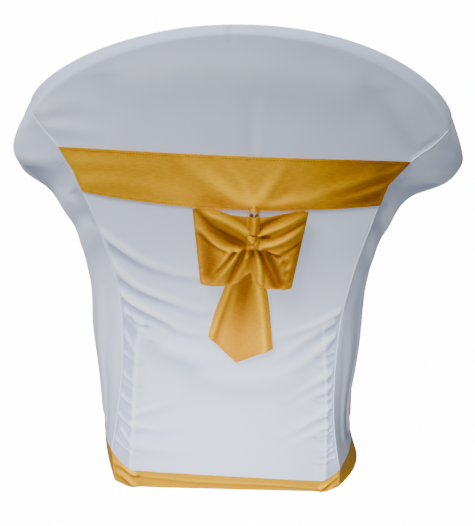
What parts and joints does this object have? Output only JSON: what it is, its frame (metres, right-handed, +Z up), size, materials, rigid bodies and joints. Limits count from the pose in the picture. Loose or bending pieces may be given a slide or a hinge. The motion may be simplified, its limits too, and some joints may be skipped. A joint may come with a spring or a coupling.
{
  "type": "chair cover with sash",
  "caption": "Fitted white stretch cover for a plastic armchair, hollow, with a gold satin sash, a folded bow with a pointed tail on its back, and a gold hem band.",
  "frame": {"origin": "on the floor under the middle of the cover's outer box", "axes": "+Z up, -Y out of the decorated back, +Y out of the front, +X to the right when looking at the decorated back"},
  "size_m": [0.6324, 0.549, 0.8518],
  "materials": {
    "white_polyester": "smooth white stretch knit with a slight sheen",
    "gold_hem_satin": "gold satin band",
    "gold_satin": "gold satin, soft sheen"
  },
  "bodies": {
    "root": {"cover_back": "white_polyester", "cover_side_left": "white_polyester", "cover_side_right": "white_polyester", "inner_back": "white_polyester", "inner_arm_left": "white_polyester", "inner_arm_right": "white_polyester", "seat_panel": "white_polyester", "front_skirt": "white_polyester", "hem_back": "gold_hem_satin", "hem_left": "gold_hem_satin", "hem_right": "gold_hem_satin", "hem_front": "gold_hem_satin", "sash_band": "gold_satin", "bow_loop": "gold_satin", "bow_knot": "gold_satin", "bow_tail": "gold_satin", "bow_keeper": "gold_satin"}
  },
  "joints": []
}
